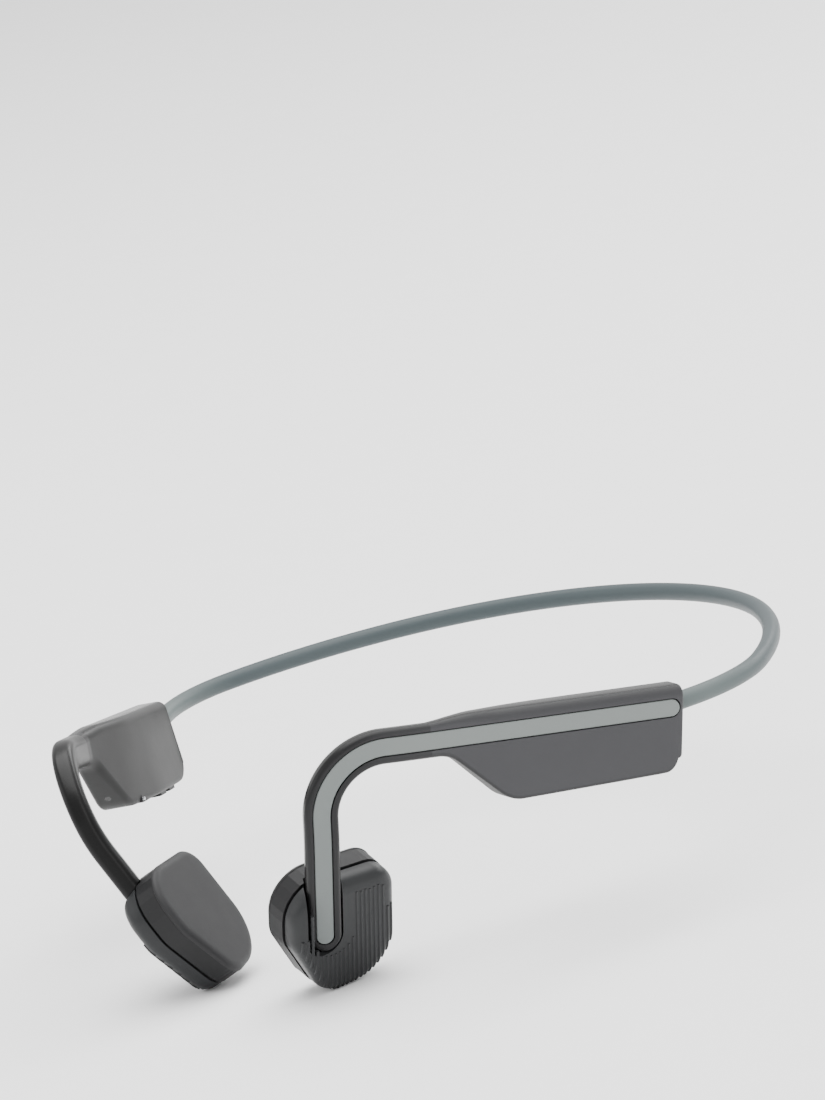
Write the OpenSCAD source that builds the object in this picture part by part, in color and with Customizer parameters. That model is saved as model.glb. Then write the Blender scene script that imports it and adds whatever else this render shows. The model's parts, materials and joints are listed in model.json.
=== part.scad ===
// Open-ear bone conduction headphones: two ear units joined by a sprung band that
// passes behind the head. Millimetres, +Z up, the wearer faces -Y, the wearer's
// left is +X. Each ear unit is drawn once, in a frame of its own (x outward,
// y to the rear, z up, origin at the top rear outer corner of its case), and
// the right one is its mirror image.

/* [Neckband] */
// Diameter of the silicone sleeve
band_d = 3.1; // [2.4:0.1:3.6]
// Diameter of the spring wire inside it
wire_d = 0.9; // [0.6:0.1:1.2]
// Radius of the middle of the band
back_r = 58.3; // [54:0.1:64]
// Angle that each half of the middle turns through
back_a = 44.4; // [40:0.1:48]
// Radius of the band's sides
side_r = 75.2; // [68:0.1:84]
// Angle that each side turns through
side_a = 24.9; // [21:0.1:29]
// Radius of the corners in front of the sides
corner_r = 24.4; // [21:0.1:28]
// Angle that each corner turns through
corner_a = 46.1; // [42:0.1:50]
// Straight stretch between a corner and the case
stub_l = 4; // [3:0.1:8]

/* [Case] */
// Angle by which the front of each case turns in
toe_in = 27.5; // [20:0.5:34]
// Angle by which the front of each case rises
pitch = 10.4; // [4:0.2:16]
// Length of the case
case_l = 46; // [44:0.5:54]
// Height of the case under its top edge
case_h = 14.2; // [13.6:0.1:18]
// Depth of the case at its top edge
case_top_t = 6.6; // [6.4:0.1:8]
// Depth of the case at its bottom edge
case_t = 8.4; // [8.2:0.1:11]
// Thickness of the case walls
wall = 1.1; // [0.9:0.1:1.4]

/* [Ear hook] */
// Width of the arm
arm_w = 5.7; // [5:0.1:7]
// Thickness of the arm
arm_t = 3.8; // [3.4:0.1:4.6]
// Radius of the bend over the ear, at the middle of the arm
bend_r = 11.1; // [9.5:0.1:13.5]
// Angle of the bend over the ear
bend_a = 92.5; // [88:0.1:97]
// Length from the case to the bend
lead_l = 7.9; // [6.5:0.1:12]
// Length of the curved stretch under the bend
drop_l = 6.8; // [5:0.1:10]
// Length of the straight stretch over the driver
tip_l = 16.4; // [14:0.1:19]
// Width of the trim strip
trim_w = 3.1; // [2.4:0.1:3.6]

/* [Driver] */
// Width of the driver housing
pod_w = 20.3; // [19.8:0.1:24]
// Height of the driver housing
pod_h = 23.2; // [22.8:0.1:27]
// Depth from the top of the cap's rim to the skin side
pod_t = 9.9; // [9.9:0.1:11.5]
// Angle by which the driver is turned about the arm, rear edge towards the head
pod_turn = 25.5; // [20:0.5:27]
// Radius of the magnet
magnet_r = 3.4; // [2.8:0.1:4]
// Travel of the magnet assembly each way
driver_travel = 0.2; // [0.1:0.05:0.25]

/* [Controls] */
// Travel of the control button on the left driver
control_travel = 0.4; // [0.2:0.05:0.5]
// Length of each volume button
volume_l = 5.2; // [3.8:0.1:5.4]
// Travel of each volume button
volume_travel = 0.4; // [0.2:0.05:0.5]
// Width of the charging socket
socket_w = 8.9; // [8.7:0.1:9.2]
// Height of the charging socket
socket_h = 3.2; // [3:0.1:3.4]

/* [Hidden] */
$fn = 48;

// Running and seating clearances
slide_gap = 0.12;
seat_gap = 0.05;
button_gap = 0.3;

// ---- Small geometry helpers ----

function unit(v) = v / norm(v);
function last(list) = list[len(list) - 1];

// One polygon corner [x, y, r] between its neighbours, as an arc of radius r
function corner_arc(p, v, n, steps = 6) =
    let(
        at = [v[0], v[1]],
        a = unit([p[0], p[1]] - at),
        b = unit([n[0], n[1]] - at),
        half = acos(max(-1, min(1, a * b))) / 2,
        c = at + unit(a + b) * v[2] / sin(half),
        s = at + a * v[2] / tan(half) - c,
        e = at + b * v[2] / tan(half) - c,
        from = atan2(s[1], s[0]),
        sweep_a = (atan2(e[1], e[0]) - from + 540) % 360 - 180
    )
    v[2] == 0 ? [at] : [for (k = [0:steps]) c + v[2] * [cos(from + sweep_a * k / steps), sin(from + sweep_a * k / steps)]];

// A counter-clockwise list of corners, moved inwards by d
function inset(pts, d) = [
    for (i = [0:len(pts) - 1])
        let(
            v = pts[i],
            p = pts[(i + len(pts) - 1) % len(pts)],
            n = pts[(i + 1) % len(pts)],
            e1 = unit([v[0] - p[0], v[1] - p[1]]),
            e2 = unit([n[0] - v[0], n[1] - v[1]]),
            n1 = [-e1[1], e1[0]],
            n2 = [-e2[1], e2[0]],
            turn_in = e1[0] * e2[1] - e1[1] * e2[0] > 0 ? d : -d,
            at = [v[0], v[1]] + d * (n1 + n2) / (1 + n1 * n2)
        )
        [at[0], at[1], v[2] == 0 ? 0 : max(0.05, v[2] - turn_in)]
];

function rounded(pts, steps = 6) = [
    for (i = [0:len(pts) - 1])
        each corner_arc(pts[(i + len(pts) - 1) % len(pts)], pts[i], pts[(i + 1) % len(pts)], steps)
];

// An outline in the y-z plane, as a slab from x0 to x1
module slab(pts, x0, x1, steps = 6) {
    translate([x0, 0, 0]) rotate([90, 0, 90]) linear_extrude(x1 - x0) polygon(rounded(pts, steps));
}

// A rounded block drawn about the z axis
module pill(x, y, r, z0, z1) {
    pts = [[x / 2, y / 2, r], [-x / 2, y / 2, r], [-x / 2, -y / 2, r], [x / 2, -y / 2, r]];
    translate([0, 0, z0]) linear_extrude(z1 - z0) polygon(rounded(pts));
}

// A cylinder along x, from x0 to x1
module rod_x(r, x0, x1) {
    translate([x0, 0, 0]) rotate([0, 90, 0]) cylinder(r = r, h = x1 - x0);
}

// ---- The neckband's path, level with the worn head ----

back_y = 63.7;
back_c = [0, back_y - back_r];
side_c = back_c + (back_r - side_r) * [sin(back_a), cos(back_a)];
corner_at = back_a + side_a;
corner_c = side_c + (side_r - corner_r) * [sin(corner_at), cos(corner_at)];
stub_at = corner_at + corner_a;
stub_start = corner_c + corner_r * [sin(stub_at), cos(stub_at)];
stub_dir = [cos(stub_at), -sin(stub_at)];
entry = stub_start + stub_l * stub_dir;

// The band flexes about the place where its middle meets each side
flex_point = back_c + back_r * [sin(back_a), cos(back_a)];
flex_r = band_d / 2 + 0.2;
socket_d = flex_r + 0.06;
wire_stop = 2.4;
wire_stop_a = wire_stop / back_r * 180 / PI;
sleeve_in = 1.5;
wire_in = 6;
anchor_r = 1.2;
anchor_l = 4;

// ---- Ear unit: its frame and its case ----

bar_margin = 0.65;
bar_z = -(bar_margin + arm_w / 2);
part_x = -5;
entry_local = [part_x, 0, bar_z - 0.15];
case_turn = [-pitch, 0, -toe_in];
function turn_x(v, a) = [v[0], v[1] * cos(a) - v[2] * sin(a), v[1] * sin(a) + v[2] * cos(a)];
function turn_z(v, a) = [v[0] * cos(a) - v[1] * sin(a), v[0] * sin(a) + v[1] * cos(a), v[2]];
function case_dir(v) = turn_z(turn_x(v, -pitch), -toe_in);
case_corner = [entry[0], entry[1], 0] - case_dir(entry_local);
function case_point(p) = case_corner + case_dir(p);

top_bevel = 1.3;
outer_bevel = 1.3;
bottom_fall = 1;
rear_low_y = -1.1;
front_low_y = -(case_l - 13.9);
notch_y = -(case_l - 3.4);
top_lift = 0.1;
case_outline = [
    [0.2, top_lift, 1.2], [-(case_l - 8), top_lift, 12], [-case_l, -bar_margin, 0],
    [-case_l, bar_z - arm_w / 2, 0], [notch_y, bar_z - arm_w / 2, 4.5],
    [front_low_y, -case_h - bottom_fall, 5], [rear_low_y, -case_h, 2.4]
];
plan_outline = [
    [2, 3, 0], [-case_t - 3, 3, 0], [-case_t - 3, -(case_l - 42), 0],
    [-arm_t, -(case_l - 2), 0], [-arm_t, -case_l - 5, 0], [2, -case_l - 5, 0]
];
bottom_tilt = atan2(bottom_fall, rear_low_y - front_low_y);
function bottom_z(y) = -case_h - (rear_low_y - y) * tan(bottom_tilt);

// The side of the head narrows towards the case's top edge
module medial_taper(d) {
    lean = (case_t - case_top_t) / case_h;
    low = case_h + 6;
    pts = [[2, 3], [-case_top_t + d + 3 * lean, 3], [-case_top_t + d - low * lean, -low], [2, -low]];
    translate([0, 5, 0]) rotate([90, 0, 0]) linear_extrude(case_l + 12) polygon(pts);
}

// Bevels along both top edges
module top_bevels(d) {
    medial = top_bevel - case_top_t + 1.41 * d;
    outer = -outer_bevel - 1.41 * d;
    pts = [[(outer + medial) / 2, (outer - medial) / 2], [medial - 22, -22], [outer + 22, -22]];
    translate([0, 5, 0]) rotate([90, 0, 0]) linear_extrude(case_l + 12) polygon(pts);
}

module case_solid(d) {
    intersection() {
        slab(inset(case_outline, d), -case_t - 2, -d);
        translate([0, 0, -case_h - 4]) linear_extrude(case_h + 8) polygon(rounded(inset(plan_outline, d)));
        medial_taper(d);
        top_bevels(d);
    }
}

module case_wall() {
    difference() {
        case_solid(0);
        case_solid(wall);
    }
}

// Everything on the head's side of the parting plane
module inner_side() {
    translate([part_x - 20, -case_l - 10, -40]) cube([20, case_l + 20, 60]);
}

// The band's parts, drawn from inside an ear unit's frame
module from_case() {
    rotate([pitch, 0, 0]) rotate([0, 0, toe_in]) translate(-case_corner) children();
}

// A cylinder along the band's straight stub, from d0 to d1 past the case's rear face
module stub_rod(r, d0, d1) {
    translate([entry[0], entry[1], 0]) rotate([0, 0, atan2(stub_dir[1], stub_dir[0])]) rod_x(r, d0, d1);
}

module band_bore() {
    from_case() stub_rod(band_d / 2 + seat_gap, -6, sleeve_in + 2);
}

// A place on the case's underside: z points into the case
module underside(x, y) {
    translate([x, y, bottom_z(y)]) rotate([bottom_tilt, 0, 0]) children();
}

// The slanted face under the case's front: z points into the case
slant_y = (front_low_y + notch_y) / 2 + 0.8;
slant_a = atan2(case_h + bottom_fall + bar_z - arm_w / 2, front_low_y - notch_y);
module slant(x, along) {
    z = -case_h - bottom_fall + (front_low_y - slant_y) * tan(slant_a);
    translate([x, slant_y, z]) rotate([-slant_a, 0, 0]) translate([0, along, 0]) children();
}

// ---- Ear hook: a path of frames [point, forward, outward, side] ----

function spin(v, a, t) = v * cos(t) + cross(a, v) * sin(t) + a * (a * v) * (1 - cos(t));
function ahead(f, d) = [f[0] + f[1] * d, f[1], f[2], f[3]];
function swing(f, bend, lean, roll) =
    let(
        b = spin(f[3], f[2], bend),
        t = spin(spin(f[1], f[2], bend), b, -lean)
    )
    [f[0], t, spin(spin(f[2], b, -lean), t, roll), spin(b, t, roll)];
function march(f, d, bend, lean, roll, n) =
    n == 0 ? [] :
    let(g = swing(ahead(swing(f, bend / 2, lean / 2, roll / 2), d), bend / 2, lean / 2, roll / 2))
    concat([g], march(g, d, bend, lean, roll, n - 1));
function run(f, length, bend, lean, roll, n) = march(f, length / n, bend / n, lean / n, roll / n, n);
function bar_frame(y) = [[0, y, bar_z], [0, -1, 0], [1, 0, 0], [0, 0, 1]];

lead_lean = 4.7;
bend_lean = 20.5;
bend_roll = -3.8;
drop_lean = 11.3;
lead_path = run(bar_frame(-case_l), lead_l, 0, lead_lean, 0, 3);
bend_path = run(last(lead_path), bend_r * bend_a * PI / 180, bend_a, bend_lean, bend_roll, 14);
drop_path = run(last(bend_path), drop_l, 0, drop_lean, 0, 4);
tip_path = run(last(drop_path), tip_l, 0, 0, 0, 1);
hook_path = concat([bar_frame(-case_l)], lead_path, bend_path, drop_path, tip_path);
tip = last(hook_path);
round_steps = [18, 36, 54, 72, 86];

// Sections are [depth, side] points. k narrows a section towards a rounded end; g and d
// are half the width and the depth of the groove for the trim strip.
trim_t = 0.65;
groove_r = trim_w / 2 + slide_gap;
shallow = 0.05;
function arm_section(k, g, d) = concat(
    rounded([
        [0, arm_w / 2 * k, 0.9 * k], [-arm_t, arm_w / 2 * k, 1.8 * k],
        [-arm_t, -arm_w / 2 * k, 1.8 * k], [0, -arm_w / 2 * k, 0.9 * k]
    ], 3),
    [[0, -g], [-d, -g], [-d, g], [0, g]]
);
function trim_section(k) = [
    [0, trim_w / 2 * k], [-trim_t, trim_w / 2 * k], [-trim_t, -trim_w / 2 * k], [0, -trim_w / 2 * k]
];
function half_width(r, d) = sqrt(max(0, r * r - d * d));
function wire_section(r, at) = [for (k = [0:7]) [-arm_t / 2 + r * cos(45 * k), at + r * sin(45 * k)]];

module sweep(frames, sections) {
    n = len(sections[0]);
    m = len(frames);
    points = [
        for (i = [0:m - 1])
            for (q = sections[i]) frames[i][0] + frames[i][2] * q[0] + frames[i][3] * q[1]
    ];
    sides = [
        for (i = [0:m - 2])
            for (j = [0:n - 1])
                let(a = i * n + j, b = i * n + (j + 1) % n)
                each [[a, b, b + n], [a, b + n, a + n]]
    ];
    ends = [[for (j = [n - 1:-1:0]) j], [for (j = [0:n - 1]) (m - 1) * n + j]];
    polyhedron(points, concat(sides, ends), convexity = 6);
}

trim_rear = trim_w / 2 + 0.8;
module trim_strip() {
    r = trim_w / 2;
    frames = concat(
        [for (k = [len(round_steps) - 1:-1:0]) bar_frame(-trim_rear + r * sin(round_steps[k]))],
        [bar_frame(-trim_rear)], hook_path,
        [for (a = round_steps) ahead(tip, r * sin(a))]
    );
    sections = concat(
        [for (k = [len(round_steps) - 1:-1:0]) trim_section(cos(round_steps[k]))],
        [for (k = [0:len(hook_path)]) trim_section(1)],
        [for (a = round_steps) trim_section(cos(a))]
    );
    sweep(frames, sections);
}

module hook_tube(r, at) {
    frames = concat([bar_frame(-case_l + 9)], hook_path);
    sweep(frames, [for (f = frames) wire_section(r, at)]);
}

hook_wire_r = 0.5;
lead_r = 0.4;
wire_side = 0.9;

// ---- Driver: frames at the tip of the arm, and its outline ----

// x points outward, y to the rear and z up along the arm
module at_tip() {
    p = tip[0];
    n = tip[2];
    b = tip[3];
    t = tip[1];
    multmatrix([
        [n[0], -b[0], -t[0], p[0]], [n[1], -b[1], -t[1], p[1]],
        [n[2], -b[2], -t[2], p[2]], [0, 0, 0, 1]
    ]) children();
}

// The driver's own frame: y and z from the middle of its outline, x from its outer side
pod_y = 2.35;
pod_z = -0.8;
module at_pod() {
    at_tip() translate([-pod_t / 2, pod_y, pod_z]) rotate([0, 0, pod_turn]) translate([pod_t / 2, 0, 0]) children();
}

pod_outline = [
    [pod_w / 2, pod_h / 2 - 2.6, 4.5], [-pod_w / 2, pod_h / 2, 6.5], [-pod_w / 2, -pod_h / 2 + 11.8, 6],
    [-pod_w / 2 + 5.8, -pod_h / 2, 4.5], [pod_w / 2, -pod_h / 2, 8.5]
];
cap_face = -0.8;
plate_x = -arm_t - 1.4;
plate_t = 1.1;
pad_x = -(pod_t - 1.2);
spring_x = plate_x - plate_t - 0.1;
spring_t = 0.15;
yoke_x = spring_x - spring_t - driver_travel - 0.05;
yoke_t = 0.55;
magnet_t = 0.9;
yoke_r = magnet_r + 2.2;
yoke_wall = 0.6;
coil_in = magnet_r + 0.5;
coil_out = yoke_r - yoke_wall - 0.4;
clamp_r = yoke_r + 2;

module driver_disc(r, x0, x1) {
    rod_x(r, x0, x1);
}

module driver_ring(r_in, r_out, x0, x1) {
    difference() {
        driver_disc(r_out, x0, x1);
        driver_disc(r_in, x0 - 1, x1 + 1);
    }
}

// ---- Parts of each ear unit ----

board_x = -2;
board_t = 0.8;
boss_z = bar_z - 0.2;
boss_r = 1.1;
screw_r = 0.35;
function boss_y(front) = front ? -(case_l - 13.5) : -11;

module at_bosses() {
    for (front = [true, false]) translate([0, boss_y(front), boss_z]) children();
}

// Saddle that holds the band's anchor
module anchor_saddle() {
    difference() {
        translate([part_x, -sleeve_in - anchor_l - 0.2, bar_z - 3.4]) cube([-part_x - wall + 0.01, anchor_l, 5.8]);
        from_case() stub_rod(anchor_r, 0, wire_in + 4);
    }
}

module outer_shell() {
    difference() {
        union() {
            difference() {
                case_wall();
                inner_side();
            }
            at_bosses() rod_x(boss_r, board_x, -wall + 0.01);
            anchor_saddle();
        }
        at_bosses() rod_x(screw_r, board_x - 1, -wall + 0.1);
        band_bore();
        translate([-trim_t, -case_l - 1, bar_z - groove_r]) cube([2, case_l + 1 - trim_rear, 2 * groove_r]);
        translate([0, -trim_rear, bar_z]) rod_x(groove_r, -trim_t, 2);
        for (side = [wire_side, -wire_side])
            translate([-arm_t / 2, -case_l - 1, bar_z + side]) rotate([-90, 0, 0]) cylinder(r = hook_wire_r + 0.1, h = 3);
    }
}

module inner_cover() {
    difference() {
        intersection() {
            case_wall();
            inner_side();
        }
        band_bore();
        from_case() stub_rod(anchor_r + seat_gap, 0, wire_in + 2);
    }
}

// The rings of the arm's rounded end, as shares of the groove's and of the arm's half width
groove_steps = [0.31, 0.59, 0.81, 0.95, 0.988];
arm_steps = [0.74, 0.86, 0.95, 0.985];
function end_section(d, g, deep) = arm_section(half_width(arm_w / 2, d) / (arm_w / 2), g, deep);
module ear_hook() {
    groove_ends = [for (k = groove_steps) k * groove_r];
    plain_ends = concat([groove_r * 1.015], [for (k = arm_steps) k * arm_w / 2]);
    frames = concat(hook_path, [for (d = concat(groove_ends, plain_ends)) ahead(tip, d)]);
    sections = concat(
        [for (f = hook_path) arm_section(1, groove_r, trim_t)],
        [for (d = groove_ends) end_section(d, half_width(groove_r, d), trim_t)],
        [for (d = plain_ends) end_section(d, 0.12, shallow)]
    );
    sweep(frames, sections);
}

// The space the arm takes over the driver, grown by d, from x0 to x1
module arm_space(d, x0, x1) {
    at_tip() {
        translate([x0, -arm_w / 2 - d, 0]) cube([x1 - x0, arm_w + 2 * d, pod_h]);
        rod_x(arm_w / 2 + d, x0, x1);
    }
}

module driver_housing() {
    difference() {
        union() {
            at_pod() {
                difference() {
                    slab(pod_outline, pad_x, plate_x);
                    slab(inset(pod_outline, 1), pad_x - 1, plate_x - plate_t);
                }
                driver_ring(clamp_r - 0.8, clamp_r, spring_x, plate_x - plate_t + 0.01);
            }
            intersection() {
                arm_space(-0.4, -arm_t - 3, -arm_t + 1);
                at_pod() slab(inset(pod_outline, 1), plate_x - 0.3, plate_x + 3);
            }
        }
        arm_space(0.02, -arm_t, 3);
    }
}

// Cap over the outer side of the driver, cut away round the arm
module driver_cap() {
    difference() {
        at_pod() difference() {
            hull() {
                slab(inset(pod_outline, 2.4), cap_face - 0.2, cap_face, 5);
                slab(inset(pod_outline, 0.1), plate_x + control_travel + 0.05, cap_face - 2.4, 5);
            }
            slab(inset(pod_outline, 2.2), plate_x - 1, cap_face - 1.2);
        }
        arm_space(button_gap, -arm_t - 3, 4);
    }
}

module contact_pad() {
    at_pod() hull() {
        slab(inset(pod_outline, -0.1), pad_x - 0.4, pad_x, 5);
        slab(inset(pod_outline, 1.7), -pod_t, -pod_t + 0.2, 5);
    }
}

module driver_magnet() {
    at_pod() driver_disc(magnet_r, yoke_x - yoke_t - magnet_t, yoke_x - yoke_t);
}

module driver_yoke() {
    at_pod() {
        driver_disc(yoke_r, yoke_x - yoke_t, yoke_x);
        driver_ring(yoke_r - yoke_wall, yoke_r, yoke_x - yoke_t - magnet_t, yoke_x - yoke_t + 0.01);
    }
}

module voice_coil() {
    at_pod() driver_ring(coil_in, coil_out, pad_x, yoke_x - yoke_t - driver_travel - 0.15);
}

module driver_spring() {
    at_pod() {
        driver_ring(clamp_r - 0.9, clamp_r, spring_x - spring_t, spring_x);
        driver_disc(2.4, spring_x - spring_t, spring_x);
        for (k = [0:2]) rotate([120 * k, 0, 0])
            translate([spring_x - spring_t, -0.6, 0]) cube([spring_t, 1.2, clamp_r - 0.5]);
    }
}

module band_anchor() {
    from_case() difference() {
        stub_rod(anchor_r, sleeve_in + 0.1, sleeve_in + 0.1 + anchor_l);
        stub_rod(wire_d / 2, 0, wire_in + 2);
    }
}

module board_screws() {
    at_bosses() {
        rod_x(screw_r, board_x - board_t - 0.1, -wall - 0.1);
        rod_x(0.8, board_x - board_t - 0.5, board_x - board_t);
    }
}

module board(low_z, rear_y) {
    difference() {
        translate([board_x - board_t, -(case_l - 12), low_z]) cube([board_t, case_l - 12 + rear_y, -1.6 - low_z]);
        at_bosses() rod_x(screw_r + 0.1, board_x - 2, board_x + 1);
    }
}

// ---- Parts of one side only ----

battery_t = 3.8;
module battery_cell() {
    slab([[-8, -6, 1], [-(case_l - 18), -6, 1], [-(case_l - 18), 1.6 - case_h, 1], [-8, 1.6 - case_h, 1]],
        -wall - 0.1 - battery_t, -wall - 0.1, 4);
}

switch_y = 4.6;
switch_z = -4.6;
module control_switch_body() {
    at_pod() translate([0, switch_y, switch_z]) {
        translate([plate_x, -1.6, -1.6]) cube([0.9, 3.2, 3.2]);
        rod_x(0.8, plate_x + 0.8, cap_face - 1.2 - control_travel - 0.05);
    }
}

socket_y = -22.6;
socket_x = board_x - board_t - socket_h / 2;
socket_z0 = 1.5;
socket_l = 6.5;
cover_l = socket_w + 3.3;
cover_w = socket_h + 1.6;
cover_t = 0.9;
hinge_y = -cover_l / 2 + 0.6;
hinge_z = 0.65;
pin_r = 0.3;
knuckle_r = 0.65;
volume_x = -5.3;
volume_up_y = -5.9;
volume_down_y = volume_up_y - volume_l - 1;
volume_w = 2.4;
volume_out = 0.8;

module port_collar() {
    underside(socket_x, socket_y) pill(cover_w + 1, cover_l + 2.4, 1.5, 0.2, wall + 1.1);
}

module port_cuts() {
    underside(socket_x, socket_y) {
        pill(socket_h + 0.4, socket_w + 0.4, socket_h / 2, -1, wall + 3);
        pill(cover_w + 2 * slide_gap, cover_l + 2 * slide_gap, 1.2, -1, cover_t + slide_gap);
        translate([0, hinge_y, hinge_z]) rod_x(knuckle_r + 0.2, -cover_w / 2 - slide_gap, cover_w / 2 + slide_gap);
        translate([-cover_w / 2 - slide_gap, hinge_y - 1.3, -1]) cube([cover_w + 2 * slide_gap, 1.3, hinge_z + 1]);
        translate([0, hinge_y, hinge_z]) rod_x(pin_r, -cover_w / 2 - 0.4, cover_w / 2 + 0.4);
    }
}

module volume_cuts() {
    for (y = [volume_up_y, volume_down_y])
        underside(volume_x, y) pill(volume_w + 2 * slide_gap, volume_l + 2 * slide_gap, 1, -1, wall + 1);
}

mic_x = -2.5;
mic_along = -1.8;
light_along = 2.4;
module sensor_cuts() {
    slant(mic_x, mic_along) cylinder(r = 0.5, h = 3, center = true);
    slant(mic_x, light_along) cylinder(r = 0.6, h = 3, center = true);
}

module right_outer() {
    difference() {
        union() {
            outer_shell();
            difference() {
                port_collar();
                inner_side();
            }
        }
        port_cuts();
        volume_cuts();
        sensor_cuts();
    }
}

module right_inner() {
    difference() {
        union() {
            inner_cover();
            intersection() {
                port_collar();
                inner_side();
            }
        }
        port_cuts();
        volume_cuts();
    }
}

module charging_socket_body() {
    underside(socket_x, socket_y) difference() {
        pill(socket_h, socket_w, socket_h / 2 - 0.02, socket_z0, socket_z0 + socket_l);
        pill(socket_h - 0.6, socket_w - 0.6, socket_h / 2 - 0.35, socket_z0 - 1, socket_z0 + socket_l - 0.5);
    }
    underside(socket_x, socket_y) pill(0.7, socket_w - 2.4, 0.1, socket_z0 + 0.6, socket_z0 + socket_l - 0.2);
}

module port_cover_body() {
    underside(socket_x, socket_y) difference() {
        union() {
            pill(cover_w, cover_l - 1.3, 1.1, 0, cover_t);
            pill(socket_h - 0.5, socket_w - 1, 1.2, cover_t - 0.1, cover_t + 0.5);
            translate([0, hinge_y, hinge_z]) rod_x(knuckle_r, -cover_w / 2, cover_w / 2);
        }
        translate([0, hinge_y, hinge_z]) rod_x(pin_r + seat_gap, -cover_w, cover_w);
    }
}

module port_cover_pin_body() {
    underside(socket_x, socket_y) translate([0, hinge_y, hinge_z]) rod_x(pin_r, -cover_w / 2 - 0.4, cover_w / 2 + 0.4);
}

module volume_button(y) {
    underside(volume_x, y) {
        pill(volume_w, volume_l, 0.9, -volume_out, wall + 0.2);
        pill(volume_w + 0.9, volume_l + 0.6, 0.6, wall + 0.1, wall + 0.6);
    }
}

module volume_switch(y) {
    underside(volume_x, y) {
        cylinder_z = wall + 0.6 + volume_travel + 0.05;
        translate([0, 0, cylinder_z]) cylinder(r = 0.7, h = 0.5);
        pill(2.9, 3, 0.2, cylinder_z + 0.4, cylinder_z + 1.3);
    }
}

module mic_parts(mesh) {
    slant(mic_x, mic_along) if (mesh) translate([0, 0, wall]) cylinder(r = 0.9, h = 0.15);
    else pill(1.8, 3, 0.3, wall + 0.15, wall + 1.15);
}

module status_light_body() {
    slant(mic_x, light_along) {
        cylinder(r = 0.6, h = wall);
        translate([0, 0, wall]) cylinder(r = 0.9, h = 0.8);
    }
}

// ---- Band parts ----

// The middle's arc, stopping trim_a short of each flex point
module band_middle(r, trim_a) {
    rotate([0, 0, 90 - back_a + trim_a]) rotate_extrude(angle = 2 * (back_a - trim_a))
        translate([back_r, 0]) circle(r);
}

module sleeve_middle() {
    difference() {
        union() {
            translate([back_c[0], back_c[1], 0]) band_middle(band_d / 2, 0);
            for (side = [0, 1]) mirror([side, 0, 0]) translate([flex_point[0], flex_point[1], 0])
                cylinder(r = flex_r, h = 2 * flex_r, center = true);
        }
        translate([back_c[0], back_c[1], 0]) band_middle(wire_d / 2, wire_stop_a);
    }
}

// A frame of the side's path, on an arc about c at angle a
function band_frame(c, r, a) = [
    [c[0] + r * sin(a), c[1] + r * cos(a), 0], [cos(a), -sin(a), 0], [sin(a), cos(a), 0], [0, 0, 1]
];

// The side's path from d0 past the flex point to d1 inside the case
module band_side(r, d0, d1, n) {
    a0 = back_a + d0 / side_r * 180 / PI;
    frames = concat(
        [for (k = [0:9]) band_frame(side_c, side_r, a0 + (corner_at - a0) * k / 9)],
        [for (k = [1:16]) band_frame(corner_c, corner_r, corner_at + corner_a * k / 16)],
        [ahead(band_frame(corner_c, corner_r, stub_at), stub_l + d1)]
    );
    sweep(frames, [for (f = frames) [for (k = [0:n - 1]) r * [cos(360 * k / n), sin(360 * k / n)]]]);
}

// ---- Placing: the object's box is centred on the origin ----

front_y = min([for (f = hook_path) case_point(f[0] + f[3] * arm_w / 2)[1]]);
top_z = max([for (f = hook_path) case_point(f[0] + f[3] * arm_w / 2)[2]]);
function tip_point(v) = case_point(tip[0] + tip[2] * v[0] - tip[3] * v[1] - tip[1] * v[2]);
function pod_point(x, y, z) =
    tip_point(turn_z([x + pod_t / 2, y, z], pod_turn) + [-pod_t / 2, pod_y, pod_z]);
pod_low = min([for (p = rounded(inset(pod_outline, 0.1))) pod_point(cap_face - 2.4, p[0], p[1])[2]]);
centre = [0, (front_y + back_y + band_d / 2) / 2, (pod_low + top_z) / 2];

module placed() {
    translate(-centre) children();
}

module ear_unit(side) {
    placed() mirror([side < 0 ? 1 : 0, 0, 0]) translate(case_corner) rotate([0, 0, case_turn[2]])
        rotate([case_turn[0], 0, 0]) children();
}

module left_outer_shell() { color("dimgray") ear_unit(1) outer_shell(); }
module left_inner_cover() { color("#3d3d3f") ear_unit(1) inner_cover(); }
module left_ear_hook() { color("#2b2b2d") ear_unit(1) ear_hook(); }
module left_trim_strip() { color("#959b99") ear_unit(1) trim_strip(); }
module left_hook_wire() { color("lightgray") ear_unit(1) hook_tube(hook_wire_r, wire_side); }
module left_hook_leads() { color("firebrick") ear_unit(1) hook_tube(lead_r, -wire_side); }
module left_driver_housing() { color("#333335") ear_unit(1) driver_housing(); }
module left_contact_pad() { color("#404042") ear_unit(1) contact_pad(); }
module left_driver_magnet() { color("silver") ear_unit(1) driver_magnet(); }
module left_driver_yoke() { color("gray") ear_unit(1) driver_yoke(); }
module left_voice_coil() { color("peru") ear_unit(1) voice_coil(); }
module left_driver_spring() { color("goldenrod") ear_unit(1) driver_spring(); }
module left_band_anchor() { color("lightgray") ear_unit(1) band_anchor(); }
module left_board_screws() { color("silver") ear_unit(1) board_screws(); }
module battery() { color("steelblue") ear_unit(1) battery_cell(); }
module battery_board() { color("darkgreen") ear_unit(1) board(-5.6, -10); }
module control_button() { color("#48494b") ear_unit(1) driver_cap(); }
module control_switch() { color("gainsboro") ear_unit(1) control_switch_body(); }

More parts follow.
